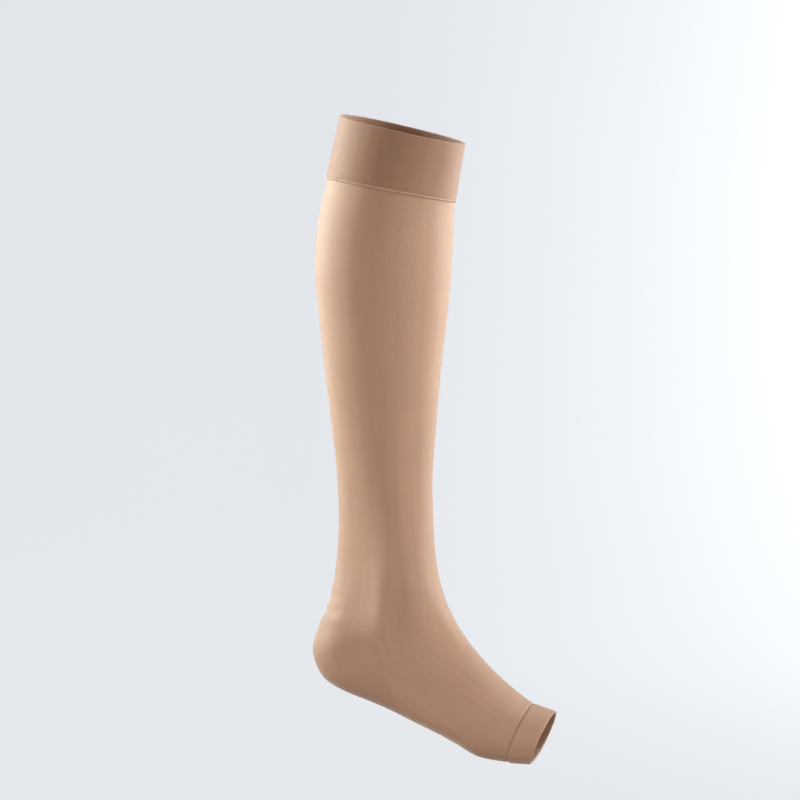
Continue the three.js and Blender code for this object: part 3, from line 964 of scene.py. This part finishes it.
def add_cove(colour):
    """The round floor that sweeps up into its wall, turned from half a section."""
    wall = COVE_RADIUS - COVE_BEND
    profile = [(0, COVE_FLOOR)]
    for i in range(COVE_BEND_STEPS + 1):
        angle = math.pi / 2 * i / COVE_BEND_STEPS
        profile.append((wall + COVE_BEND * math.sin(angle), COVE_FLOOR + COVE_BEND * (1 - math.cos(angle))))
    profile.append((COVE_RADIUS, COVE_TOP))
    bm = bmesh.new()
    verts = [bm.verts.new((x, 0, z)) for x, z in profile]
    edges = [bm.edges.new(pair) for pair in zip(verts, verts[1:])]
    bmesh.ops.spin(
        bm, geom=[*verts, *edges], cent=(0, 0, 0), axis=(0, 0, 1), angle=2 * math.pi, steps=COVE_AROUND,
        use_merge=True, use_duplicate=False,
    )
    bmesh.ops.remove_doubles(bm, verts=bm.verts, dist=10 * SAME_PLACE)
    bmesh.ops.recalc_face_normals(bm, faces=bm.faces)
    cove = new_piece("Studio_Cove", bm, [cove_material("Painted Glow Cove Acrylic", colour)])
    # The cove is only seen: the lamps and the sky alone light the stocking
    cove.visible_diffuse = cove.visible_glossy = False


def add_lamp(scene, row):
    """One lamp of the table."""
    lamp = bpy.data.lights.new(row["name"], "AREA")
    lamp.shape, lamp.size, lamp.size_y = "RECTANGLE", row["wide"], row["high"]
    lamp.energy, lamp.color = row["power"], linear(row["colour"])[:3]
    lamp.spread = math.radians(row["spread"])
    stand = bpy.data.objects.new(row["name"], lamp)
    stand.location, stand.rotation_euler = row["at"], aimed(row["at"], row["facing"])
    stand.visible_camera = False
    scene.collection.objects.link(stand)


def add_sky(scene):
    """Soft light from all round, weaker from below."""
    sky = bpy.data.worlds.new("Studio")
    sky.use_nodes = True
    tree = sky.node_tree
    tree.nodes.clear()
    direction = add_node(tree, "ShaderNodeTexCoord").outputs["Generated"]
    height = add_node(tree, "ShaderNodeSeparateXYZ", links={"Vector": direction}).outputs["Z"]
    below = {"From Min": -1.0, "From Max": -0.1, "To Min": AMBIENT_BELOW * AMBIENT, "To Max": AMBIENT}
    light = add_node(tree, "ShaderNodeMapRange", below, {"Value": height}, interpolation_type="SMOOTHSTEP")
    ambient, strength = {"Color": linear(AMBIENT_COLOUR)}, {"Strength": light.outputs["Result"]}
    glow = add_node(tree, "ShaderNodeBackground", ambient, strength)
    add_node(tree, "ShaderNodeOutputWorld", links={"Surface": glow.outputs["Background"]})
    scene.world = sky


def add_camera(scene):
    """The camera at the picture's viewing angle."""
    camera = bpy.data.objects.new("Camera", bpy.data.cameras.new("Camera"))
    camera.data.lens, camera.data.sensor_width = CAMERA_LENS, CAMERA_SENSOR
    camera.location, camera.rotation_euler = CAMERA_EYE, aimed(CAMERA_EYE, CAMERA_TARGET)
    scene.collection.objects.link(camera)
    scene.camera = camera


class STOCKING_OT_stage(bpy.types.Operator):
    """Make the studio cove, the lamps and the camera"""

    bl_idname = "stocking.stage"
    bl_label = "Stage"

    def execute(self, context):
        scene = context.scene
        add_cove(scene.stocking_colours.cove)
        for row in LAMPS:
            add_lamp(scene, row)
        add_sky(scene)
        scene.view_settings.view_transform = "Standard"
        add_camera(scene)
        return {"FINISHED"}


STEPS = (
    STOCKING_OT_stage, STOCKING_OT_leg_and_foot, STOCKING_OT_heel_pouch, STOCKING_OT_top_band,
    STOCKING_OT_toe_band, STOCKING_OT_band_seam, STOCKING_OT_heel_gores, STOCKING_OT_toe_seam,
)


class STOCKING_PT_panel(bpy.types.Panel):
    """Lists the stocking's pieces and settings"""

    bl_idname = "STOCKING_PT_panel"
    bl_label = "Compression Stocking"
    bl_space_type = "VIEW_3D"
    bl_region_type = "UI"
    bl_category = "Stocking"

    def draw(self, context):
        for settings in (context.scene.stocking_sizes, context.scene.stocking_colours):
            column = self.layout.column(align=True)
            for name in settings.__annotations__:
                column.prop(settings, name)
        for step in STEPS:
            self.layout.operator(step.bl_idname)


CLASSES = (StockingSizes, StockingColours, *STEPS, STOCKING_PT_panel)


def register():
    for cls in CLASSES:
        bpy.utils.register_class(cls)
    bpy.types.Scene.stocking_sizes = PointerProperty(type=StockingSizes)
    bpy.types.Scene.stocking_colours = PointerProperty(type=StockingColours)


def unregister():
    del bpy.types.Scene.stocking_colours
    del bpy.types.Scene.stocking_sizes
    for cls in reversed(CLASSES):
        bpy.utils.unregister_class(cls)


def main():
    register()
    for step in STEPS:
        group, name = step.bl_idname.split(".")
        getattr(getattr(bpy.ops, group), name)()


if __name__ == "__main__":
    main()
